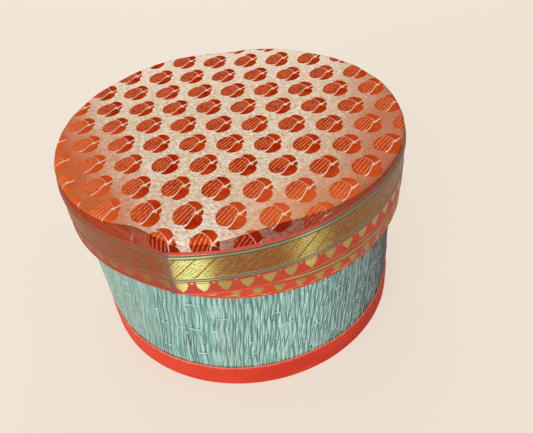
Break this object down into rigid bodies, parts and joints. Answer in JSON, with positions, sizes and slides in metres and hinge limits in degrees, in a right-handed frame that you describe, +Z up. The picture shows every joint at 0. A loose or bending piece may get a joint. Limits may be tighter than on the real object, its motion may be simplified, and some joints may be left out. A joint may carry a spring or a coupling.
{
  "type": "mithai sweet box",
  "caption": "Round sweet box with a grass-mat wall, red tape edges and a lift-off brocade lid with a woven border.",
  "frame": {"origin": "centre of the underside, on the surface the closed box stands on", "axes": "+Z up through the lid, -Y towards the viewer, +X to the viewer's right"},
  "size_m": [0.165, 0.165, 0.099],
  "materials": {
    "greyboard": "matt grey-brown board",
    "lining_paper": "matt cream paper",
    "grass": "dyed pale green grass culms, softly glossy",
    "mat_thread": "pale blue cotton thread",
    "red_tape": "vermilion cotton tape",
    "brocade": "silver-cream zari brocade with orange-red motifs",
    "woven_border": "gold zari and red woven border"
  },
  "bodies": {
    "base": {"base_floor_board": "greyboard", "base_wall_hoop": "greyboard", "base_wall_lining": "lining_paper", "base_floor_lining": "lining_paper", "base_underside_paper": "lining_paper", "grass_mat": "grass", "mat_thread_1": "mat_thread", "mat_thread_2": "mat_thread", "mat_thread_3": "mat_thread", "mat_thread_4": "mat_thread", "mat_thread_5": "mat_thread", "mat_thread_6": "mat_thread", "mat_thread_7": "mat_thread", "mat_thread_8": "mat_thread", "rim_binding": "red_tape", "foot_binding": "red_tape"},
    "lid": {"lid_top_board": "greyboard", "lid_skirt_hoop": "greyboard", "lid_top_lining": "lining_paper", "brocade_cover": "brocade", "border_ribbon": "woven_border"}
  },
  "joints": [
    {"name": "lid_lift", "type": "slide", "parent": "base", "child": "lid", "axis": [0, 0, 1], "range_m": [0, 0.08]}
  ]
}
